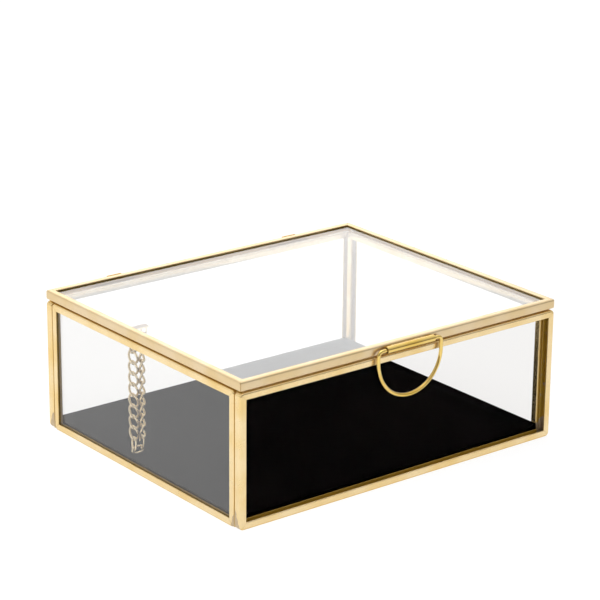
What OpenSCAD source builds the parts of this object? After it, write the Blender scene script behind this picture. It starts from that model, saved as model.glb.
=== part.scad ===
// Glass jewelry box: brass-framed panes, hinged lid with a ring pull, and a stay chain.
// Origin at the middle of the underside; +X right along the front, +Y to the back, +Z up.

/* [Box] */
// Width along the front, outside the brass
box_w = 180; // [140:1:240]
// Depth from front face to back face
box_d = 150; // [110:1:200]
// Height of the body without the lid
body_h = 62.3; // [58:0.1:66]
// Gap between the closed lid and the body
lid_gap = 0.7; // [0.4:0.1:1]

/* [Brass channel and glass] */
// Thickness of the brass sheet of the channel
sheet_t = 0.75; // [0.5:0.05:0.9]
// Width of the channel's lips
lip_w = 3.3; // [2.8:0.1:4.5]
// Thickness of every glass pane
glass_t = 3.0; // [2.8:0.1:3.4]
// Radius of each frame's corners
corner_r = 2; // [1:0.1:2.6]
// Solder between the side frames and the front and back frames
seam_t = 0.3; // [0.2:0.05:0.5]

/* [Base] */
// Thickness of the felt under the base
felt_t = 0.5; // [0.3:0.1:1]
// Thickness of the base board
board_t = 2.5; // [1.5:0.1:3]
// Thickness of the velvet pad
velvet_t = 2.0; // [1:0.1:2.5]

/* [Hinges] */
// Outer diameter of the hinge barrels
barrel_d = 3.3; // [3:0.1:3.6]
// Diameter of the hinge pins
pin_d = 1.5; // [1.2:0.1:1.8]
// Length of each hinge
hinge_len = 24; // [18:1:40]
// Distance of each hinge from the middle
hinge_x = 52; // [30:1:56]

/* [Ring pull] */
// Wire diameter of the ring
ring_wire = 1.7; // [1.4:0.1:2]
// Radius of the ring at the middle of its wire
ring_r = 18; // [15:0.5:20]
// Drop from the tube's axis to the middle of the wire at the bottom
ring_drop = 23.25; // [22:0.25:28]
// Length of the tube
tube_len = 27; // [20:1:29]
// Outer diameter of the tube
tube_d = 3.2; // [3:0.1:3.6]
// Distance of the ring to the right of the lid's middle
pull_x = 1.2; // [0:0.1:5]

/* [Stay chain] */
// Wire diameter of the links
link_wire = 0.85; // [0.8:0.05:0.9]
// Outside length of a link
link_len = 7.05; // [7:0.05:7.1]
// Outside width of a link
link_w = 4.1; // [4:0.05:4.15]
// Clearance between linked wires
link_gap = 0.15; // [0.12:0.01:0.18]
// Distance of the chain behind the box's middle
chain_y = 11.6; // [0:0.1:20]

/* [Hidden] */
$fn = 48;
brass = "#e3c27a";
solder = "#c9a877";
glass = [0.86, 0.93, 0.92, 0.35];

channel_t = glass_t + 2 * sheet_t;
lid_z = body_h + lid_gap;
side_len = box_d - 2 * (channel_t + seam_t);
inner_w = box_w - 2 * channel_t;
inner_d = box_d - 2 * channel_t;
velvet_top = felt_t + board_t + velvet_t;

// Hinges: the axis runs along X, level with the gap under the lid.
hinge_y = box_d / 2 + barrel_d / 2;
hinge_z = body_h + lid_gap / 2;
leaf_t = 0.6;
leaf_h = channel_t;
knuckle_gap = 0.15;
pin_clear = 0.05;

// Ring pull: the axis runs along X in front of the lid.
pull_y = -box_d / 2 - tube_d / 2 - 0.05;
pull_z = lid_z + channel_t / 2;
ring_bend = 2.2;
tube_bore_r = ring_wire / 2 + 0.05;
flare_depth = 1.5;
ring_tail = 6;

// Stay chain: two hanging strands of ten links, joined at the bottom by one cross link.
strand_links = 10;
link_reach = link_len - link_wire;
hook_step = link_wire + link_gap;
pitch = link_reach - hook_step;
cross_z = velvet_top + 0.25 + link_w / 2;
strand_gap = link_reach - 2 * hook_step;
case_strand_x = -box_w / 2 + 6.9;
lid_strand_x = case_strand_x + strand_gap;
eye_z = cross_z + link_reach + (strand_links - 1) * pitch - hook_step;
twist_step = 100;
case_eye_r = 1.5;
lid_eye_w = 3.45;
tongue_w = 3.2;
// The last link of the lid's strand is an open hook: its tip stops just past the bottom.
hook_tip_a = 16;
hook_stub_z = 3.1;

// ---- frames -------------------------------------------------------------------------------

// Outline of a frame in its own plane, with round corners, its lower left corner at the origin.
module rounded_outline(w, h, r) {
    translate([r, 0]) square([w - 2 * r, h]);
    translate([0, r]) square([w, h - 2 * r]);
    for (x = [r, w - r], y = [r, h - r]) translate([x, y]) circle(r);
}

// The share of a w by h frame that belongs to its bottom strip, cut at 45 degrees.
module mitre_region(w, depth) {
    polygon([[0, 0], [w, 0], [w - depth, depth], [depth, depth]]);
}

// One U-shaped strip along X: web at z = 0, slot for the pane open upwards, thickness along Y.
module channel_strip(w, h, r) {
    rotate([90, 0, 0]) mirror([0, 0, 1]) difference() {
        linear_extrude(channel_t) intersection() {
            rounded_outline(w, h, r);
            mitre_region(w, lip_w);
        }
        translate([0, 0, sheet_t]) linear_extrude(glass_t)
            translate([sheet_t, sheet_t])
                rounded_outline(w - 2 * sheet_t, h - 2 * sheet_t, max(r - sheet_t, 0.4));
    }
}

// The pane that fills a w by h frame's slot.
module pane(w, h, r) {
    color(glass) translate([0, sheet_t, 0]) rotate([90, 0, 0]) mirror([0, 0, 1])
        linear_extrude(glass_t) translate([sheet_t, sheet_t])
            rounded_outline(w - 2 * sheet_t, h - 2 * sheet_t, max(r - sheet_t, 0.4));
}

// Places a frame's strip: side 0 bottom, 1 right, 2 top, 3 left, as seen from outside.
module frame_strip(w, h, side, r = corner_r) {
    strip_w = side % 2 == 0 ? w : h;
    strip_h = side % 2 == 0 ? h : w;
    color(brass) translate([w / 2, 0, h / 2]) rotate([0, -90 * side, 0])
        translate([-strip_w / 2, 0, -strip_h / 2]) channel_strip(strip_w, strip_h, r);
}

module at_front() {
    translate([-box_w / 2, -box_d / 2, 0]) children();
}

module at_back() {
    rotate([0, 0, 180]) translate([-box_w / 2, -box_d / 2, 0]) children();
}

module at_left() {
    rotate([0, 0, -90]) translate([-side_len / 2, -box_w / 2, 0]) children();
}

module at_right() {
    rotate([0, 0, 90]) translate([-side_len / 2, -box_w / 2, 0]) children();
}

// The lid's frame lies flat, its outer side up and its bottom strip at the front.
module at_lid() {
    translate([-box_w / 2, -box_d / 2, lid_z + channel_t]) rotate([-90, 0, 0]) children();
}

lid_corner_r = 0.8;

module lid_strip(side) {
    at_lid() frame_strip(box_w, box_d, side, lid_corner_r);
}

// ---- base ---------------------------------------------------------------------------------

module base_layer(z, t, tint) {
    color(tint) translate([-inner_w / 2, -inner_d / 2, z]) cube([inner_w, inner_d, t]);
}

// Solder seams between the side frames and the front and back frames.
module corner_solder() {
    color(solder) for (sx = [-1, 1], sy = [-1, 1])
        translate([sx * (box_w / 2 - channel_t / 2), sy * (inner_d / 2 - seam_t / 2), body_h / 2])
            cube([channel_t - 0.5, seam_t, body_h - 2 * corner_r], center = true);
}

// ---- hinges -------------------------------------------------------------------------------

module x_cylinder(r, len) {
    rotate([0, 90, 0]) cylinder(r = r, h = len, center = true);
}

// One barrel length with its leaf on the back of a frame, above or below the axis.
module knuckle(len, up, bore_r) {
    difference() {
        union() {
            x_cylinder(barrel_d / 2, len);
            translate([-len / 2, -barrel_d / 2, up ? lid_gap / 2 : -lid_gap / 2 - leaf_h])
                cube([len, leaf_t, leaf_h]);
            translate([-len / 2, -barrel_d / 2, up ? 0 : -lid_gap / 2 - 0.5])
                cube([len, leaf_t, lid_gap / 2 + 0.5]);
        }
        x_cylinder(bore_r, len + 1);
    }
}

knuckle_len = hinge_len / 3;

module at_hinges() {
    for (sx = [-1, 1]) translate([sx * hinge_x, hinge_y, hinge_z]) children();
}

module hinge_case_leaves() {
    color(brass) at_hinges() union() {
        for (s = [-1, 1]) translate([s * knuckle_len, 0, 0])
            knuckle(knuckle_len - knuckle_gap, false, pin_d / 2);
        translate([-knuckle_len, -barrel_d / 2, -lid_gap / 2 - leaf_h])
            cube([2 * knuckle_len, leaf_t, leaf_h - barrel_d / 2]);
    }
}

module hinge_lid_leaves() {
    color(brass) at_hinges() knuckle(knuckle_len - knuckle_gap, true, pin_d / 2 + pin_clear);
}

module hinge_pins() {
    color("#cfae66") at_hinges() x_cylinder(pin_d / 2, hinge_len);
}

// ---- ring pull ----------------------------------------------------------------------------

module handle_tube() {
    color(brass) translate([pull_x, pull_y, pull_z]) difference() {
        union() {
            x_cylinder(tube_d / 2, tube_len);
            translate([-tube_len / 2 + 2, 0, -0.8]) cube([tube_len - 4, -box_d / 2 - pull_y, 1.6]);
        }
        x_cylinder(tube_bore_r, tube_len + 2);
        for (s = [-1, 1]) translate([s * tube_len / 2, 0, 0])
            x_cylinder(tube_d / 2 - 0.35, 2 * flare_depth);
    }
}

module pull_ring() {
    wire_r = ring_wire / 2;
    leg = ring_drop - ring_r - ring_bend;
    tail_end = tube_len / 2 - ring_tail;
    color(brass) translate([pull_x, pull_y, pull_z]) {
        translate([0, 0, ring_r - ring_drop]) rotate([90, 0, 0])
            rotate([0, 0, 180]) rotate_extrude(angle = 180) translate([ring_r, 0]) circle(wire_r);
        for (s = [0, 1]) mirror([s, 0, 0]) {
            translate([ring_r, 0, -ring_bend - leg]) cylinder(r = wire_r, h = leg);
            translate([ring_r - ring_bend, 0, -ring_bend]) rotate([90, 0, 0])
                rotate_extrude(angle = 90) translate([ring_bend, 0]) circle(wire_r);
            translate([tail_end, 0, 0]) rotate([0, 90, 0])
                cylinder(r = wire_r, h = ring_r - ring_bend - tail_end);
        }
    }
}

// ---- stay chain ---------------------------------------------------------------------------

// Quarter, half or whole end bend of a link in the YZ plane, from angle a over sweep degrees.
module wire_arc(r, a, sweep) {
    rotate([90, 0, 90]) rotate([0, 0, a]) rotate_extrude(angle = sweep)
        translate([r, 0]) circle(link_wire / 2, $fn = 24);
}

module wire_rod(y, z, len) {
    translate([0, y, z]) cylinder(r = link_wire / 2, h = len, $fn = 24);
}

// A closed link in the YZ plane, centred on the origin, len and w outside.
module oval_link(len, w) {
    r = (w - link_wire) / 2;
    half = (len - w) / 2;
    translate([0, 0, half]) wire_arc(r, 0, 180);
    translate([0, 0, -half]) wire_arc(r, 180, 180);
    for (s = [-1, 1]) wire_rod(s * r, -half, 2 * half);
}

// The open link at the lower end of the lid's strand: its +Y side is cut away near the bottom.
module hook_link() {
    r = (link_w - link_wire) / 2;
    half = (link_len - link_w) / 2;
    stub_z = hook_stub_z - link_reach / 2;
    translate([0, 0, half]) wire_arc(r, 0, 180);
    translate([0, 0, -half]) wire_arc(r, 180, 90 + hook_tip_a);
    wire_rod(-r, -half, 2 * half);
    wire_rod(r, stub_z, half - stub_z);
}

// Links 1 to 10 hang from the body's eye, 11 is the cross link, 12 is the hook and 13 to 21 go
// up to the lid's eye.
module chain_link(n) {
    first = n <= strand_links;
    i = first ? n - 1 : 2 * strand_links + 1 - n;
    x = first ? case_strand_x : lid_strand_x;
    z = eye_z + hook_step - link_reach / 2 - i * pitch;
    color(brass) if (n == strand_links + 1)
        translate([case_strand_x + strand_gap / 2, chain_y, cross_z])
            rotate([0, 90, 90]) rotate([0, 0, 90]) rotate([0, 90, 0]) oval_link(link_len, link_w);
    else if (n == strand_links + 2)
        translate([x, chain_y, z]) hook_link();
    else
        translate([x, chain_y, z]) rotate([0, 0, twist_step * i]) oval_link(link_len, link_w);
}

// Eye on the inside of the left frame, for the body's end of the chain.
module chain_case_eye() {
    ring_z = eye_z + case_eye_r;
    color(brass) {
        translate([case_strand_x, chain_y, ring_z]) rotate([0, 0, 90]) wire_arc(case_eye_r, 0, 360);
        translate([-box_w / 2 + channel_t, chain_y, ring_z]) rotate([0, 90, 0])
            cylinder(r = 0.7, h = case_strand_x - case_eye_r + box_w / 2 - channel_t);
    }
}

// Tongue under the lid's glass with a long eye, for the lid's end of the chain.
module chain_lid_eye() {
    lip_x = -box_w / 2 + lip_w;
    end_x = lid_strand_x + lid_eye_w / 2;
    top_z = lid_z + sheet_t / 2;
    eye_len = top_z - eye_z + link_wire;
    color(brass) {
        translate([lip_x, chain_y - tongue_w / 2, lid_z])
            cube([end_x - lip_x, tongue_w, sheet_t]);
        difference() {
            translate([lid_strand_x, chain_y, (top_z + eye_z) / 2]) rotate([0, 0, 90])
                oval_link(eye_len, lid_eye_w);
            translate([lid_strand_x - 5, chain_y - 5, lid_z + sheet_t / 2]) cube([10, 10, 5]);
        }
    }
}

// ---- nodes --------------------------------------------------------------------------------

at_front() pane(box_w, body_h, corner_r);  // front_pane
at_back() pane(box_w, body_h, corner_r);  // back_pane
at_left() pane(side_len, body_h, corner_r);  // left_pane
at_right() pane(side_len, body_h, corner_r);  // right_pane

at_front() frame_strip(box_w, body_h, 0);  // front_bottom_channel
at_front() frame_strip(box_w, body_h, 1);  // front_right_channel
at_front() frame_strip(box_w, body_h, 2);  // front_top_channel
at_front() frame_strip(box_w, body_h, 3);  // front_left_channel
at_back() frame_strip(box_w, body_h, 0);  // back_bottom_channel
at_back() frame_strip(box_w, body_h, 1);  // back_left_channel
at_back() frame_strip(box_w, body_h, 2);  // back_top_channel
at_back() frame_strip(box_w, body_h, 3);  // back_right_channel
at_left() frame_strip(side_len, body_h, 0);  // left_bottom_channel
at_left() frame_strip(side_len, body_h, 1);  // left_front_channel
at_left() frame_strip(side_len, body_h, 2);  // left_top_channel
at_left() frame_strip(side_len, body_h, 3);  // left_back_channel
at_right() frame_strip(side_len, body_h, 0);  // right_bottom_channel
at_right() frame_strip(side_len, body_h, 1);  // right_back_channel
at_right() frame_strip(side_len, body_h, 2);  // right_top_channel
at_right() frame_strip(side_len, body_h, 3);  // right_front_channel

corner_solder();
base_layer(0, felt_t, "#1c1b1c");  // underside_felt
base_layer(felt_t, board_t, "#8a7a66");  // base_board
base_layer(felt_t + board_t, velvet_t, "#0d0b0d");  // velvet_lining

hinge_case_leaves();
hinge_pins();
chain_case_eye();

at_lid() pane(box_w, box_d, lid_corner_r);  // lid_pane
lid_strip(0);  // lid_front_channel
lid_strip(1);  // lid_right_channel
lid_strip(2);  // lid_back_channel
lid_strip(3);  // lid_left_channel
hinge_lid_leaves();
handle_tube();
chain_lid_eye();
pull_ring();

chain_link(1);  // chain_link_01
chain_link(2);  // chain_link_02
chain_link(3);  // chain_link_03
chain_link(4);  // chain_link_04
chain_link(5);  // chain_link_05
chain_link(6);  // chain_link_06
chain_link(7);  // chain_link_07
chain_link(8);  // chain_link_08
chain_link(9);  // chain_link_09
chain_link(10);  // chain_link_10
chain_link(11);  // chain_link_11
chain_link(12);  // chain_link_12
chain_link(13);  // chain_link_13
chain_link(14);  // chain_link_14
chain_link(15);  // chain_link_15
chain_link(16);  // chain_link_16
chain_link(17);  // chain_link_17
chain_link(18);  // chain_link_18
chain_link(19);  // chain_link_19
chain_link(20);  // chain_link_20
chain_link(21);  // chain_link_21
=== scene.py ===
import bpy, bmesh, math
from mathutils import Matrix, Vector, noise


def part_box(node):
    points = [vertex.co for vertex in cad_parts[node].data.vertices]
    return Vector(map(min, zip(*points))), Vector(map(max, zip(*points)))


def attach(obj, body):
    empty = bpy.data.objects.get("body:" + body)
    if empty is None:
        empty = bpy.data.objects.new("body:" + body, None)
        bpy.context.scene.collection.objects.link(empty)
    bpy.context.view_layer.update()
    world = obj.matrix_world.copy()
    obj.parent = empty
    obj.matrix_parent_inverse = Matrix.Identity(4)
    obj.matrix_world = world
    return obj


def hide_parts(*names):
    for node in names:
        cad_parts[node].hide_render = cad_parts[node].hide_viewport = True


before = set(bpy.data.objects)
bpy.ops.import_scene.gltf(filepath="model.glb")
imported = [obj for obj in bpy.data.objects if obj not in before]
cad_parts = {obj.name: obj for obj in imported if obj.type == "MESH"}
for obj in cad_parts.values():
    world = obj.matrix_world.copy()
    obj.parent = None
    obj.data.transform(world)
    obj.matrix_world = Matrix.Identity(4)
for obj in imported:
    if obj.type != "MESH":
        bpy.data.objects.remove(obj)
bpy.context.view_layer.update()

MM = 0.001

# ---- camera: the photograph's viewpoint ---------------------------------------------------

LENS, SENSOR = 141.886, 36
CLIP_START, CLIP_END = 0.05, 40
CAMERA_AT = (-0.63786, -0.80768, 0.41622)
AZIMUTH, ELEVATION, ROLL = math.radians(-38.3084), math.radians(18.8535), math.radians(0.5625)


def add_camera():
    data = bpy.data.cameras.new("camera")
    data.lens, data.sensor_width = LENS, SENSOR
    data.clip_start, data.clip_end = CLIP_START, CLIP_END
    cam = bpy.data.objects.new("camera", data)
    bpy.context.scene.collection.objects.link(cam)
    flat = math.cos(ELEVATION)
    back = Vector((math.sin(AZIMUTH) * flat, -math.cos(AZIMUTH) * flat, math.sin(ELEVATION)))
    level = (-back).cross(Vector((0, 0, 1))).normalized()
    upright = level.cross(-back)
    right = level * math.cos(ROLL) + upright * math.sin(ROLL)
    up = upright * math.cos(ROLL) - level * math.sin(ROLL)
    turn = Matrix((right, up, back)).transposed().to_4x4()
    cam.matrix_world = Matrix.Translation(CAMERA_AT) @ turn
    bpy.context.scene.camera = cam


add_camera()

# ---- the box's sizes, from the CAD --------------------------------------------------------

low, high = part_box("lid_pane")
sheet, pane_t = 0.75 * MM, high.z - low.z
front_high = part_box("front_pane")[1]
width = 2 * (front_high.x + sheet)
depth = 2 * (high.y + sheet)
body_h = front_high.z + sheet
channel_t = pane_t + 2 * sheet
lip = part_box("front_bottom_channel")[1].z
lid_z = low.z - sheet
side_len = 2 * (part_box("left_pane")[1].y + sheet)

# ---- meshes -------------------------------------------------------------------------------


def piece(name, verts, faces, material, body, slot, *nodes, smooth=35):
    """One object that rides on body and stands for nodes; smooth is the largest angle shaded as smooth."""
    mesh = bpy.data.meshes.new(name)
    mesh.from_pydata([tuple(v) for v in verts], [], faces)
    bm = bmesh.new()
    bm.from_mesh(mesh)
    bmesh.ops.recalc_face_normals(bm, faces=bm.faces)
    bm.to_mesh(mesh)
    bm.free()
    for polygon in mesh.polygons:
        polygon.use_smooth = True
    mesh.set_sharp_from_angle(angle=math.radians(smooth))
    obj = bpy.data.objects.new(name, mesh)
    bpy.context.scene.collection.objects.link(obj)
    mesh.materials.append(material)
    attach(obj, body)
    if nodes:
        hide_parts(*nodes)
    return obj


def rounded(corners, steps=4):
    """A closed outline with each corner (x, y, radius) rounded."""
    out = []
    n = len(corners)
    for i, (x, y, r) in enumerate(corners):
        p = Vector((x, y))
        a = (Vector(corners[i - 1][:2]) - p).normalized()
        b = (Vector(corners[(i + 1) % n][:2]) - p).normalized()
        for k in range(steps + 1):
            t = k / steps
            out.append(p + a * r * (1 - t) ** 2 + b * r * t ** 2)
    return out


def ring_faces(n, stations, closed):
    """Faces between stations of n points each; closed joins the last to the first, or both are capped."""
    faces = []
    for s in range(stations if closed else stations - 1):
        a, b = s * n, (s + 1) % stations * n
        faces += [(a + k, a + (k + 1) % n, b + (k + 1) % n, b + k) for k in range(n)]
    if not closed:
        faces += [tuple(range(n)), tuple(reversed(range((stations - 1) * n, stations * n)))]
    return faces


def tube(path, radius, sides=20, closed=False):
    """Rings of a round wire along a path."""
    n = len(path)
    verts = []
    normal = None
    for i, p in enumerate(path):
        ahead = path[(i + 1) % n] if closed or i < n - 1 else p
        behind = path[i - 1] if closed or i else p
        along = (ahead - behind).normalized()
        if normal is None:
            normal = along.orthogonal().normalized()
        normal = (normal - along * normal.dot(along)).normalized()
        other = along.cross(normal)
        for k in range(sides):
            a = 2 * math.pi * k / sides
            verts.append(p + (normal * math.cos(a) + other * math.sin(a)) * radius)
    return verts, ring_faces(sides, n, closed)


def turned(profile, sides=48):
    """A solid of revolution about X from (x, radius) points in a closed loop."""
    verts = []
    for k in range(sides):
        a = 2 * math.pi * k / sides
        verts += [Vector((x, r * math.cos(a), r * math.sin(a))) for x, r in profile]
    return verts, ring_faces(len(profile), sides, True)


# ---- materials ----------------------------------------------------------------------------

# The dressed solder on the side frames: its centre and outward limit, and the drop's height and half width.
DROP_Y, DROP_X, DROP_TOP, DROP_HALF = 71.2 * MM, 85.2 * MM, 9.8 * MM, 3.4 * MM
DROP_EDGE = 4500


class Nodes:
    """A Principled material under construction, with its textures in object space."""

    def __init__(self, name):
        self.material = bpy.data.materials.new(name)
        self.material.use_nodes = True
        self.tree = self.material.node_tree
        self.shader = self.tree.nodes["Principled BSDF"]
        self.place = self.tree.nodes.new("ShaderNodeTexCoord").outputs["Object"]

    def set(self, **values):
        for key, value in values.items():
            self.shader.inputs[key.replace("_", " ")].default_value = value

    def link(self, a, b):
        self.tree.links.new(a, b)

    def noise(self, scale, detail=3, roughness=0.5, stretch=(1, 1, 1), turn=(0, 0, 0), distortion=0.0):
        mapping = self.tree.nodes.new("ShaderNodeMapping")
        mapping.inputs["Scale"].default_value = stretch
        mapping.inputs["Rotation"].default_value = [math.radians(t) for t in turn]
        self.link(self.place, mapping.inputs["Vector"])
        node = self.tree.nodes.new("ShaderNodeTexNoise")
        node.inputs["Scale"].default_value = scale
        node.inputs["Detail"].default_value = detail
        node.inputs["Roughness"].default_value = roughness
        node.inputs["Distortion"].default_value = distortion
        self.link(mapping.outputs["Vector"], node.inputs["Vector"])
        return node.outputs["Fac"]

    def spread(self, value, low, high, to_low=0.0, to_high=1.0):
        node = self.tree.nodes.new("ShaderNodeMapRange")
        for key, v in zip(("From Min", "From Max", "To Min", "To Max"), (low, high, to_low, to_high)):
            node.inputs[key].default_value = v
        self.link(value, node.inputs["Value"])
        return node.outputs["Result"]

    def mix(self, factor, a, b):
        """Colour a at factor 0 and b at 1; each is an (r, g, b) or a socket."""
        node = self.tree.nodes.new("ShaderNodeMix")
        node.data_type = "RGBA"
        self.link(factor, node.inputs[0])
        for socket, colour in ((node.inputs[6], a), (node.inputs[7], b)):
            if isinstance(colour, tuple):
                socket.default_value = (*colour, 1)
            else:
                self.link(colour, socket)
        return node.outputs[2]

    def add(self, a, b):
        return self.maths("ADD", a, b)

    def maths(self, operation, a, b=None, clamp=False):
        node = self.tree.nodes.new("ShaderNodeMath")
        node.operation = operation
        node.use_clamp = clamp
        for socket, value in zip(node.inputs, (a, b)):
            if value is None:
                continue
            if isinstance(value, (int, float)):
                socket.default_value = value
            else:
                self.link(value, socket)
        return node.outputs[0]

    def open_share(self, reach):
        """How much of the space within reach (mm) of a point is free: low in gaps and corners."""
        node = self.tree.nodes.new("ShaderNodeAmbientOcclusion")
        node.samples = 6
        node.inputs["Distance"].default_value = reach * MM
        return node.outputs["AO"]

    def corner_mask(self):
        """1 on the dressed solder at the foot of each upright corner, a drop that narrows upwards."""
        split = self.tree.nodes.new("ShaderNodeSeparateXYZ")
        self.link(self.place, split.inputs[0])
        across = self.maths("ABSOLUTE", split.outputs["Y"])
        off = self.maths("ABSOLUTE", self.maths("SUBTRACT", across, DROP_Y))
        reach = self.spread(split.outputs["Z"], 0.0, DROP_TOP, DROP_HALF, -0.2 * MM)
        ragged = self.spread(self.noise(320, 3), 0.3, 0.7, -0.5 * MM, 0.5 * MM)
        inside = self.maths("SUBTRACT", self.add(reach, ragged), off)
        near = self.maths("MULTIPLY", inside, DROP_EDGE, True)
        side = self.maths("GREATER_THAN", self.maths("ABSOLUTE", split.outputs["X"]), DROP_X)
        return self.maths("MULTIPLY", near, side)

    def colour(self, socket):
        self.link(socket, self.shader.inputs["Base Color"])

    def roughness(self, socket):
        self.link(socket, self.shader.inputs["Roughness"])

    def bump(self, height, strength, distance):
        node = self.tree.nodes.new("ShaderNodeBump")
        node.inputs["Strength"].default_value = strength
        node.inputs["Distance"].default_value = distance
        self.link(height, node.inputs["Height"])
        self.link(node.outputs["Normal"], self.shader.inputs["Normal"])


def brass(name, pale, deep, rough, along=(1, 1, 1), scratch=0.008, dressed=False, reach=1.6,
          recess_shade=(0.7, 0.43, 0.05), metal=1.0):
    """Lacquered brass: faint cloudy patches, fine grain and pits, and painted shade in gaps and recesses: a
    deeper tone, rougher and less metallic, where little space is open around the surface.
    """
    m = Nodes(name)
    patches = m.spread(m.noise(70, 2, 0.5), 0.38, 0.72)
    tone = m.mix(patches, pale, deep)
    specks = m.spread(m.noise(900, 2, 0.6), 0.73, 0.8)
    tone = m.mix(specks, tone, tuple(c * 0.6 for c in deep))
    grain = m.noise(2600, 3, 0.6, stretch=along, turn=(20, 20, 38))
    rough_at = m.spread(m.add(grain, m.noise(160, 3)), 0.7, 1.3, rough * 0.93, rough * 1.08)
    # Painted shade: where the ambient occlusion within reach finds little open space, the colour turns to the
    # deeper recess tone and the brass turns rougher and less metallic.
    painted_shade_mask = m.spread(m.open_share(reach), 0.35, 0.8, 1.0, 0.0)
    tone = m.mix(painted_shade_mask, tone, recess_shade)
    rough_at = m.add(rough_at, m.spread(painted_shade_mask, 0, 1, 0, 0.2))
    m.link(m.spread(painted_shade_mask, 0, 1, metal, 0.3), m.shader.inputs["Metallic"])
    if dressed:
        mask = m.corner_mask()
        filed = m.mix(m.noise(700, 3), (0.5, 0.38, 0.22), (0.72, 0.58, 0.4))
        tone = m.mix(mask, tone, filed)
        rough_at = m.add(rough_at, m.spread(mask, 0, 1, 0, 0.28))
    m.colour(tone)
    m.roughness(rough_at)
    m.bump(m.add(grain, m.noise(150, 2)), scratch, 0.00003)
    return m.material


STRAIGHT_GRAIN = (0.05, 1, 1)
# Each brass's recess colour, given here or left at its default, is painted shade for its gaps and crevices.
frame_brass = brass("frame_brass", (0.87, 0.685, 0.39), (0.81, 0.58, 0.24), 0.26, dressed=True, metal=0.88)
lid_brass = brass("lid_brass", (0.745, 0.59, 0.37), (0.71, 0.53, 0.27), 0.34, STRAIGHT_GRAIN,
                  reach=1.0, metal=0.92)
ring_brass = brass("ring_brass", (0.8, 0.58, 0.19), (0.7, 0.46, 0.08), 0.1, recess_shade=(0.36, 0.19, 0.02))
chain_brass = brass("chain_brass", (1, 0.86, 0.6), (0.97, 0.77, 0.46), 0.22,
                    reach=0.9, recess_shade=(0.36, 0.2, 0.07), metal=0.9)
hinge_brass = brass("hinge_brass", (0.8, 0.62, 0.33), (0.7, 0.5, 0.2), 0.28, STRAIGHT_GRAIN)
pin_brass = brass("pin_brass", (0.72, 0.56, 0.3), (0.62, 0.44, 0.2), 0.26)
solder_metal = brass("solder_metal", (0.7, 0.58, 0.38), (0.56, 0.42, 0.24), 0.36, scratch=0.2)


def glass(name, ior, tint, shade, most=0.32):
    """Clear glass that lets less through where it is seen at a slant, at the rate shade and up to most."""
    m = Nodes(name)
    m.set(Transmission_Weight=1.0, IOR=ior)
    layer = m.tree.nodes.new("ShaderNodeLayerWeight")
    layer.inputs["Blend"].default_value = 0.5
    slant = m.maths("POWER", layer.outputs["Facing"], 4.0)
    smears = m.spread(m.noise(30, 4, distortion=0.5), 0.4, 0.8, shade, shade * 1.1)
    lost = m.maths("MINIMUM", m.maths("MULTIPLY", slant, smears), most)
    m.colour(m.mix(lost, tint, (0.0, 0.0, 0.0)))
    m.roughness(m.spread(m.noise(45, 4), 0.45, 0.8, 0.0, 0.02))
    return m.material


# The low index keeps reflections off the front, back and right panes, as in the photograph.
GLASS_INDEX, FAINT_INDEX = 1.52, 1.04
clear = glass("clear_glass", GLASS_INDEX, (0.974, 0.972, 0.968), 3.0)
lid_clear = glass("lid_glass", GLASS_INDEX, (0.93, 0.932, 0.938), 3.0, 0.35)
thin = glass("thin_glass", FAINT_INDEX, (0.945, 0.94, 0.934), 1.5)


def velvet():
    m = Nodes("black_velvet")
    m.set(Sheen_Weight=0.004, Sheen_Roughness=0.35, Sheen_Tint=(0.8, 0.8, 0.86, 1), Specular_IOR_Level=0.0)
    nap = m.noise(42, 5, 0.62, distortion=0.8)
    m.colour(m.mix(m.spread(nap, 0.38, 0.68), (0.0006, 0.0004, 0.0006), (0.0035, 0.0022, 0.0024)))
    m.roughness(m.spread(nap, 0.3, 0.7, 0.85, 1.0))
    m.bump(m.noise(5200, 2), 0.3, 0.0001)
    return m.material


def felt():
    m = Nodes("black_felt")
    m.set(Sheen_Weight=0.2, Specular_IOR_Level=0.15)
    fibres = m.noise(2400, 4, 0.7, distortion=1.5)
    m.colour(m.mix(fibres, (0.012, 0.012, 0.013), (0.05, 0.048, 0.05)))
    m.roughness(m.spread(fibres, 0.3, 0.7, 0.85, 1.0))
    m.bump(fibres, 0.6, 0.0002)
    return m.material


def board():
    m = Nodes("base_board")
    grain = m.noise(90, 5, 0.6, stretch=(0.08, 1, 1), distortion=0.4)
    m.colour(m.mix(grain, (0.32, 0.23, 0.14), (0.5, 0.4, 0.28)))
    m.roughness(m.spread(grain, 0.3, 0.7, 0.55, 0.75))
    m.bump(grain, 0.2, 0.0002)
    return m.material


black_velvet, black_felt, plywood = velvet(), felt(), board()

# ---- frames: one folded brass strip for each side of each pane ----------------------------

BEND, EDGE, CROWN = 0.9 * MM, 0.2 * MM, 0.12 * MM
SMALL_R = 0.02 * MM
FRAME_CORNER, LID_CORNER = 2 * MM, 0.8 * MM
MITRE_GAP, MITRE_CHAMFER, TIGHTEST = 0.04 * MM, 0.07 * MM, 0.12 * MM
SHOULDER, WAVER = 0.09 * MM, 0.035 * MM
CORNER_STEPS, LENGTH_STEPS = 8, 24


def crowned():
    """Points across a lip's outer face, from its free edge to the web, a little proud in the middle."""
    shares = (0, 1 / 6, 2 / 6, 3 / 6, 4 / 6, 1)
    return [(lip * (1 - s), CROWN * (1 - math.sin(math.pi * s)) ** 1.5, SMALL_R) for s in shares]


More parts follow.
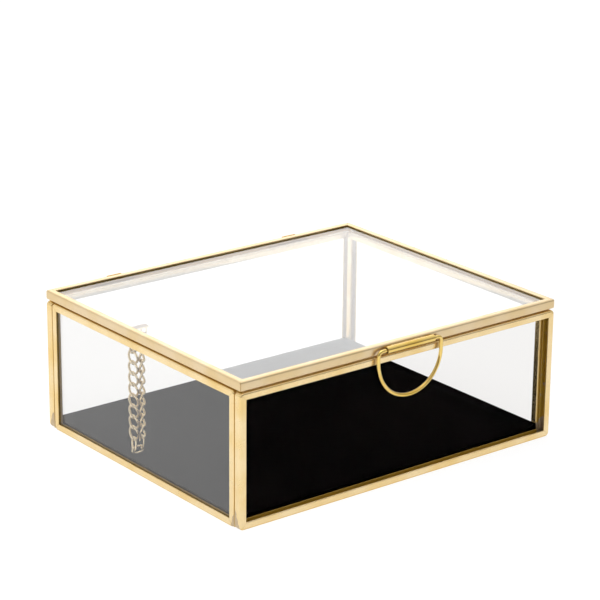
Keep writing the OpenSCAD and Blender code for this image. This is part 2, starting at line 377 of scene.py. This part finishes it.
def channel_profile():
    """The folded strip's section as (distance in from its web, distance back from its outer face)."""
    near = crowned()
    far = [(d, channel_t - t, r) for d, t, r in reversed(near)]
    dip = CROWN * 0.6
    web = [(dip * (1 - math.sin(math.pi * s)), channel_t * s, SMALL_R) for s in (0.3, 0.5, 0.7)]
    near[0], far[-1] = (lip, CROWN, EDGE), (lip, channel_t - CROWN, EDGE)
    near[-1], far[0] = (0.05 * MM, dip, BEND), (0.05 * MM, channel_t - dip, BEND)
    back = channel_t - sheet
    inner = [(lip, back, EDGE), (sheet, back, EDGE / 2), (sheet, sheet, EDGE / 2), (lip, sheet, EDGE)]
    return rounded(near + web + far + inner, 5)


profile = channel_profile()


def corner_rings(radius):
    """Rings from the mitre of a strip, at 45 degrees, round the box's corner to the straight."""
    rings = []
    for k in range(CORNER_STEPS + 1):
        a = math.radians(225 + 45 * k / CORNER_STEPS)
        ring = []
        for d, t in profile:
            r = max(radius - d, TIGHTEST)
            c = d + r
            if k == 0:
                t = min(max(t, MITRE_CHAMFER), channel_t - MITRE_CHAMFER)
            ring.append(Vector((c + r * math.cos(a) + MITRE_GAP, t, c + r * math.sin(a))))
        rings.append(ring)
        if k == 0:
            rings.append([Vector((v.x + SHOULDER, profile[i].y, v.z)) for i, v in enumerate(ring)])
    return rings


def strip_rings(length, radius, seed):
    """Rings of one strip along x, its web at z = 0 and its outer face at y = 0, mitred at both ends."""
    start = corner_rings(radius)
    finish = [[Vector((length - v.x, v.y, v.z)) for v in ring] for ring in reversed(start)]
    middle = []
    for k in range(1, LENGTH_STEPS):
        s = k / LENGTH_STEPS
        fade = min(1, 6 * min(s, 1 - s))
        ring = []
        for a, b in zip(start[-1], finish[0]):
            v = a.lerp(b, s)
            if v.z > lip * 0.9:
                v.z += noise.noise(Vector((v.x * 45, seed * 7.3, 0.5))) * WAVER * fade
            ring.append(v)
        middle.append(ring)
    rings = start + middle + finish
    return [v for ring in rings for v in ring], ring_faces(len(profile), len(rings), False)


def placed(matrix, verts):
    return [matrix @ v for v in verts]


def turn_z(degrees):
    return Matrix.Rotation(math.radians(degrees), 4, "Z")


LONG = Matrix.Translation((-width / 2, -depth / 2, 0))
SHORT = Matrix.Translation((-side_len / 2, -width / 2, 0))
WALLS = {
    "front": (LONG, width, ("bottom", "right", "top", "left")),
    "back": (turn_z(180) @ LONG, width, ("bottom", "left", "top", "right")),
    "left": (turn_z(-90) @ SHORT, side_len, ("bottom", "front", "top", "back")),
    "right": (turn_z(90) @ SHORT, side_len, ("bottom", "back", "top", "front")),
}
LID_CORNER_AT = Matrix.Translation((-width / 2, -depth / 2, lid_z + channel_t))
LID = LID_CORNER_AT @ Matrix.Rotation(math.radians(-90), 4, "X")


def frame_strips(place, w, h, radius, names, material, body, seed):
    """Four strips around a pane of w by h, from the bottom one on."""
    for side, node in enumerate(names):
        length, other = (w, h) if side % 2 == 0 else (h, w)
        verts, faces = strip_rings(length, radius, seed + side)
        spin = (Matrix.Translation((w / 2, 0, h / 2)) @ Matrix.Rotation(math.radians(-90 * side), 4, "Y")
                @ Matrix.Translation((-length / 2, 0, -other / 2)))
        piece(node + "_brass", placed(place @ spin, verts), faces, material, body, "brushed_brass", node)


def pane_piece(place, w, h, node, body, material):
    """A pane with ground edges, a hair clear of the channel on every side."""
    seat, bevel, r = sheet + 0.1 * MM, 0.35 * MM, 1.2 * MM
    hair = 0.06 * MM
    near, far = sheet + hair, sheet + pane_t - hair
    verts = []
    for y, inset in ((near, bevel), (near + bevel, 0), (far - bevel, 0), (far, bevel)):
        a = seat + inset
        outline = rounded([(a, a, r), (w - a, a, r), (w - a, h - a, r), (a, h - a, r)], 5)
        verts += [Vector((p.x, y, p.y)) for p in outline]
    faces = ring_faces(len(verts) // 4, 4, False)
    piece(node + "_glass", placed(place, verts), faces, material, body, "clear_glass", node, smooth=20)


for i, (wall, (place, length, sides)) in enumerate(WALLS.items()):
    names = [f"{wall}_{side}_channel" for side in sides]
    frame_strips(place, length, body_h, FRAME_CORNER, names, frame_brass, "case", 10 * i)
    pane_piece(place, length, body_h, wall + "_pane", "case", clear if wall == "left" else thin)
lid_names = [f"lid_{side}_channel" for side in ("front", "right", "back", "left")]
frame_strips(LID, width, depth, LID_CORNER, lid_names, lid_brass, "lid", 50)
pane_piece(LID, width, depth, "lid_pane", "lid", lid_clear)

# ---- solder -------------------------------------------------------------------------------

SEAM_FOOT, SEAM_HEAD = 0.6 * MM, 1.2 * MM
SEAM_HALF, SEAM_SPREAD, SEAM_FOOT_SHARE = 0.3 * MM, 1.1 * MM, 0.2
SEAM_SUNK, SEAM_RISE, SEAM_LUMP, SEAM_IN = -0.3 * MM, 0.26 * MM, 0.05 * MM, 0.15 * MM
SEAM_STATIONS, SEAM_SIDES = 60, 10


def solder_seam(sx, sy):
    """A filed bead of solder in the groove between a side frame and the front or back frame."""
    verts = []
    seam_h = body_h - SEAM_HEAD - SEAM_FOOT
    for i in range(SEAM_STATIONS + 1):
        s = i / SEAM_STATIONS
        foot = max(0.0, 1 - s / SEAM_FOOT_SHARE)
        lump = noise.noise(Vector((s * 24, sx * 3 + 5, sy * 2))) * SEAM_LUMP
        half_w = SEAM_HALF + SEAM_SPREAD * foot + lump
        proud = SEAM_SUNK + SEAM_RISE * min(1, foot * 3) + lump * 0.3
        for k in range(SEAM_SIDES):
            a = 2 * math.pi * k / SEAM_SIDES
            x = width / 2 - channel_t / 4 + math.cos(a) * (channel_t / 4 + proud)
            y = depth / 2 - channel_t - SEAM_IN + math.sin(a) * half_w * 0.25
            verts.append(Vector((sx * x, sy * y, SEAM_FOOT + seam_h * s)))
    return verts, ring_faces(SEAM_SIDES, SEAM_STATIONS + 1, False)


seam_verts, seam_faces = [], []
for sx in (-1, 1):
    for sy in (-1, 1):
        verts, faces = solder_seam(sx, sy)
        base = len(seam_verts)
        seam_verts += verts
        seam_faces += [tuple(base + i for i in f) for f in faces]
piece("corner_solder_beads", seam_verts, seam_faces, solder_metal, "case", "solder", "corner_solder",
      smooth=60)

# ---- base ---------------------------------------------------------------------------------

COLUMNS, ROWS = 96, 80
MARGIN, RIM_WIDTH = 0.05 * MM, 5 * MM


def lining(name, node, material, slot, crown, lift, edge_r, ripple, rim_lift=0.0):
    """A sheet with a rounded edge, a crown and ripples; it climbs by rim_lift at the right and back walls."""
    lo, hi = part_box(node)

    def top(u, v):
        x = lo.x + MARGIN + (hi.x - lo.x - 2 * MARGIN) * u
        y = lo.y + MARGIN + (hi.y - lo.y - 2 * MARGIN) * v
        near = min(x - lo.x, hi.x - x, y - lo.y, hi.y - y)
        drop = edge_r * (1 - math.sqrt(max(0.0, 1 - (1 - min(1, near / edge_r)) ** 2)))
        swell = crown * (math.sin(math.pi * u) * math.sin(math.pi * v)) ** 0.4
        wave = ripple * noise.noise(Vector((x * 60, y * 60, 1.7)))
        rim = max(1 - (hi.x - x) / RIM_WIDTH, 1 - (hi.y - y) / RIM_WIDTH, 0) ** 0.7
        return Vector((x, y, hi.z - lift - drop - crown + swell + wave + rim_lift * rim))

    def share(i, n):
        """Closer steps near both ends."""
        return i / n - 0.09 * math.sin(2 * math.pi * i / n)

    verts = [top(share(i, COLUMNS), share(j, ROWS)) for j in range(ROWS + 1) for i in range(COLUMNS + 1)]
    stride = COLUMNS + 1
    faces = []
    for j in range(ROWS):
        for i in range(COLUMNS):
            a = j * stride + i
            faces.append((a, a + 1, a + stride + 1, a + stride))
    border = list(range(COLUMNS)) + [j * stride + COLUMNS for j in range(ROWS)]
    border += [ROWS * stride + i for i in range(COLUMNS, 0, -1)] + [j * stride for j in range(ROWS, 0, -1)]
    start = len(verts)
    verts += [Vector((verts[i].x, verts[i].y, lo.z + 0.02 * MM)) for i in border]
    n = len(border)
    faces += [(border[k], border[(k + 1) % n], start + (k + 1) % n, start + k) for k in range(n)]
    faces.append(tuple(range(start, start + n)))
    return piece(name, verts, faces, material, "case", slot, node, smooth=70)


pad = lining("velvet_pad", "velvet_lining", black_velvet, "black_velvet",
             0.2 * MM, 0.02 * MM, 0.3 * MM, 0.05 * MM, 1.25 * MM)
lining("felt_underside", "underside_felt", black_felt, "black_felt", 0.02 * MM, 0.01 * MM, 0.1 * MM, 0.0)

# ---- ring pull and its tube ---------------------------------------------------------------

tube_low, tube_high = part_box("handle_tube")
ring_low, ring_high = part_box("pull_ring")
wire = 0.85 * MM
axis_y = (ring_low.y + ring_high.y) / 2
axis_z = (tube_low.z + tube_high.z) / 2
mid_x = (ring_low.x + ring_high.x) / 2
tube_half = (tube_high.x - tube_low.x) / 2
ring_r = (ring_high.x - ring_low.x) / 2 - wire
bend, tuck = 2.2 * MM, 6 * MM
TAIL_STEPS, BEND_STEPS, LEG_STEPS, ARC_STEPS = 5, 8, 4, 48


def ring_path():
    """The wire's centre line, open in the tube: from tuck inside one end of it, round a shoulder, down,
    round half a circle, and the same back into the other end."""
    centre = ring_low.z + wire + ring_r
    inner, bend_x = tube_half - tuck, ring_r - bend
    shoulder = axis_z - bend
    path = [Vector((inner + (bend_x - inner) * k / TAIL_STEPS, 0, axis_z)) for k in range(TAIL_STEPS + 1)]
    for k in range(1, BEND_STEPS + 1):
        a = math.radians(90 - 90 * k / BEND_STEPS)
        path.append(Vector((bend_x + bend * math.cos(a), 0, shoulder + bend * math.sin(a))))
    path += [Vector((ring_r, 0, shoulder + (centre - shoulder) * k / LEG_STEPS)) for k in range(1, LEG_STEPS)]
    mirrored = [Vector((-p.x, p.y, p.z)) for p in reversed(path)]
    for k in range(ARC_STEPS + 1):
        a = math.radians(-180 * k / ARC_STEPS)
        path.append(Vector((ring_r * math.cos(a), 0, centre + ring_r * math.sin(a))))
    return [Vector((mid_x + p.x, axis_y, p.z)) for p in path + mirrored]


verts, faces = tube(ring_path(), wire, 24)
piece("ring_pull_wire", verts, faces, ring_brass, "ring", "polished_brass", "pull_ring", smooth=50)

outer_r = (tube_high.z - tube_low.z) / 2 - 0.01 * MM
bore_r, mouth_r = wire + 0.05 * MM, outer_r - 0.35 * MM
MOUTH_DEPTH, LIP_IN, LIP_UP = 1.5 * MM, 0.08 * MM, 0.05 * MM
CHAMFER_IN, CHAMFER_DOWN = 0.15 * MM, 0.12 * MM
half_profile = [
    (tube_half - MOUTH_DEPTH, bore_r), (tube_half - MOUTH_DEPTH, mouth_r),
    (tube_half - LIP_IN, mouth_r), (tube_half, mouth_r + LIP_UP),
    (tube_half, outer_r - CHAMFER_DOWN), (tube_half - CHAMFER_IN, outer_r),
]
tube_profile = [(-x, r) for x, r in reversed(half_profile)] + half_profile
verts, faces = turned(tube_profile)
verts = [v + Vector((mid_x, axis_y, axis_z)) for v in verts]
piece("handle_tube_barrel", verts, faces, ring_brass, "lid", "brushed_brass", "handle_tube")


SOLDER_STATIONS = 70
# Millimetres out from the lid's front face and up from the tube's axis; its front lies in the tube's wall.
SOLDER_SECTION = [(-0.66, 1.1), (-0.45, 1.0), (0.02, 1.25), (0.02, -1.25), (-0.45, -1.0), (-0.66, -1.1)]


def tube_solder():
    """Fillet of solder between the tube and the lid's front face."""
    verts = []
    reach = tube_half - MOUTH_DEPTH
    for i in range(SOLDER_STATIONS + 1):
        s = i / SOLDER_STATIONS
        x = mid_x - reach + 2 * reach * s
        swell = 1 + 0.1 * noise.noise(Vector((s * 18, 3.1, 0.2)))
        taper = max(min(1, 8 * min(s, 1 - s)) ** 0.5, 0.15)
        for out, up in SOLDER_SECTION:
            verts.append(Vector((x, out * MM - depth / 2, axis_z + up * MM * swell * taper)))
    return verts, ring_faces(len(SOLDER_SECTION), SOLDER_STATIONS + 1, False)


verts, faces = tube_solder()
piece("handle_tube_solder", verts, faces, solder_metal, "lid", "solder", smooth=70)

# ---- stay chain ---------------------------------------------------------------------------

LINK_WIRE, EYE_WIRE, CROSS_WIRE = 0.53 * MM, 0.43 * MM, 0.48 * MM
LINK_LEN, FLAT_W, CASE_W, LID_W = 7.05 * MM, 4.1 * MM, 4.5 * MM, 4.3 * MM
CAD_WIRE, SLIGHT, LONGER = 0.425 * MM, 0.06 * MM, 0.22 * MM
CASE_FOOT, LID_FOOT = 6.7, -7.3
LEAN, STRAIGHT, SQUARENESS = 18, 0.56, 0.82
HOOK_SWEEP, HOOK_STEPS, LOOP_STEPS = 286, 30, 38
CROSS, HOOK = 11, 12


def link_loop(w, opened=False, extra=SLIGHT):
    """Centre line of an oval link in the YZ plane; an open link's +Y side is cut away near the bottom."""
    half_w, half_l = w / 2 - LINK_WIRE, LINK_LEN / 2 - CAD_WIRE + extra
    sweep, steps = (HOOK_SWEEP, HOOK_STEPS) if opened else (360, LOOP_STEPS)
    points = []
    for k in range(steps + 1 if opened else steps):
        a = math.radians(sweep * k / steps)
        y, z = (math.copysign(abs(c) ** SQUARENESS, c) for c in (math.cos(a), math.sin(a)))
        points.append(Vector((0, y * half_w, z * half_l)))
    return points


def curb(points, start, end, lean=LEAN, straight=0):
    """Leans a loop and twists it about Z: its width turns from the angle start at the top to end at the foot.
    Both are measured from +X, and the twist starts below the share straight of the loop's length."""
    out = []
    for p in points:
        p = Matrix.Rotation(math.radians(lean), 4, "X") @ p
        s = max(0.5 - p.z / LINK_LEN - straight, 0) / (1 - straight)
        out.append(turn_z(start + (end - start) * s - 90) @ p)
    return out


def link_path(n):
    """Links 1 and 21 are straight where they hang in an eye, and 10 to 12, at the chain's foot, are flat."""
    if n == CROSS:
        return [Vector((p.z, 0, p.y)) for p in link_loop(FLAT_W)]
    if n in (10, HOOK):
        return link_loop(FLAT_W, n == HOOK)
    if n == 1:
        return curb(link_loop(FLAT_W), -90, CASE_FOOT, 0, STRAIGHT)
    if n == 21:
        return curb(link_loop(FLAT_W), 90, LID_FOOT, 0, STRAIGHT)
    if n < 10:
        return curb(link_loop(CASE_W, extra=LONGER), CASE_FOOT - 90, CASE_FOOT)
    return curb(link_loop(LID_W, extra=LONGER), LID_FOOT + 90, LID_FOOT)


def middle_of(node):
    lo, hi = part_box(node)
    return (lo + hi) / 2


top_of_case, top_of_lid = middle_of("chain_link_01"), middle_of("chain_link_21")
for n in range(1, 22):
    node = f"chain_link_{n:02d}"
    centre = middle_of(node)
    strand = "chain_case_strand" if n < CROSS else "chain_cross_link" if n == CROSS else "chain_lid_strand"
    if n != CROSS:
        top = top_of_case if n < CROSS else top_of_lid
        centre = Vector((top.x, top.y, centre.z))
    radius = EYE_WIRE if n in (1, 21) else CROSS_WIRE if n in (CROSS, HOOK) else LINK_WIRE
    verts, faces = tube([p + centre for p in link_path(n)], radius, 14, closed=n != HOOK)
    piece(node + "_wire", verts, faces, chain_brass, strand, "chain_brass", node, smooth=60)

# ---- carried-over CAD nodes ---------------------------------------------------------------


def paint(material, *names):
    """Gives CAD parts that are shown as they are a material."""
    for name in names:
        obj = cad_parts[name]
        for s in obj.material_slots:
            s.material = material
        if not obj.material_slots:
            obj.data.materials.append(material)


paint(hinge_brass, "hinge_case_leaves", "hinge_lid_leaves")
paint(pin_brass, "hinge_pins")
paint(chain_brass, "chain_case_eye", "chain_lid_eye")
paint(plywood, "base_board")

# ---- floor and light ----------------------------------------------------------------------

FLOOR_HALF, FLOOR_DROP = 9, 0.02 * MM
FLOOR_GREY, FLOOR_GLOW = 0.2, (0.82, 0.95)
ACROSS = (-0.95, 0.3, 0)
SKY_AXIS = (0.1, 0.62, 0.78)
DIM, BRIGHT = (0.14, 0.12, 0.1, 1), (1.0, 1.0, 1.0, 1)
DIM_AT, BRIGHT_AT = 0.25, 0.8


def pale_floor():
    """A matt floor with a glow that rises a little along ACROSS."""
    m = Nodes("floor")
    m.set(Base_Color=(FLOOR_GREY, FLOOR_GREY, FLOOR_GREY, 1), Roughness=0.9, Specular_IOR_Level=0.0,
          Emission_Color=(1, 1, 1, 1))
    across = m.tree.nodes.new("ShaderNodeVectorMath")
    across.operation = "DOT_PRODUCT"
    across.inputs[1].default_value = ACROSS
    m.link(m.place, across.inputs[0])
    m.link(m.spread(across.outputs["Value"], -0.2, 0.2, *FLOOR_GLOW), m.shader.inputs["Emission Strength"])
    return m.material


def add_floor():
    mesh = bpy.data.meshes.new("floor")
    corners = [(x * FLOOR_HALF, y * FLOOR_HALF, 0) for x, y in ((-1, -1), (1, -1), (1, 1), (-1, 1))]
    mesh.from_pydata(corners, [], [(0, 1, 2, 3)])
    floor = bpy.data.objects.new("floor", mesh)
    floor.location.z = -FLOOR_DROP
    bpy.context.scene.collection.objects.link(floor)
    mesh.materials.append(pale_floor())


def add_sky():
    """A plain sky, dim towards the front and below, and white towards the back and above."""
    world = bpy.data.worlds.new("studio")
    bpy.context.scene.world = world
    world.use_nodes = True
    tree = world.node_tree
    sky = tree.nodes["Background"]
    sky.inputs["Strength"].default_value = 1.0
    coords = tree.nodes.new("ShaderNodeTexCoord")
    axis = tree.nodes.new("ShaderNodeVectorMath")
    axis.operation = "DOT_PRODUCT"
    axis.inputs[1].default_value = SKY_AXIS
    tree.links.new(coords.outputs["Generated"], axis.inputs[0])
    half_up = tree.nodes.new("ShaderNodeMapRange")
    half_up.inputs["From Min"].default_value = -1
    tree.links.new(axis.outputs["Value"], half_up.inputs["Value"])
    ramp = tree.nodes.new("ShaderNodeValToRGB")
    for element, at, colour in zip(ramp.color_ramp.elements, (DIM_AT, BRIGHT_AT), (DIM, BRIGHT)):
        element.position, element.color = at, colour
    tree.links.new(half_up.outputs["Result"], ramp.inputs["Fac"])
    tree.links.new(ramp.outputs["Color"], sky.inputs["Color"])


def area(name, where, size, power):
    """A rectangular light that faces the origin."""
    data = bpy.data.lights.new(name, "AREA")
    data.shape = "RECTANGLE"
    data.size, data.size_y = size
    data.energy = power
    obj = bpy.data.objects.new(name, data)
    obj.location = where
    obj.rotation_euler = (-Vector(where)).to_track_quat("-Z", "Y").to_euler()
    bpy.context.scene.collection.objects.link(obj)


add_floor()
add_sky()
area("top", (0.1, 0.1, 1.6), (1.6, 1.6), 8)
area("behind", (0.7, 1.2, 0.65), (1.0, 0.5), 1.95)
bpy.context.scene.view_settings.view_transform = "Standard"
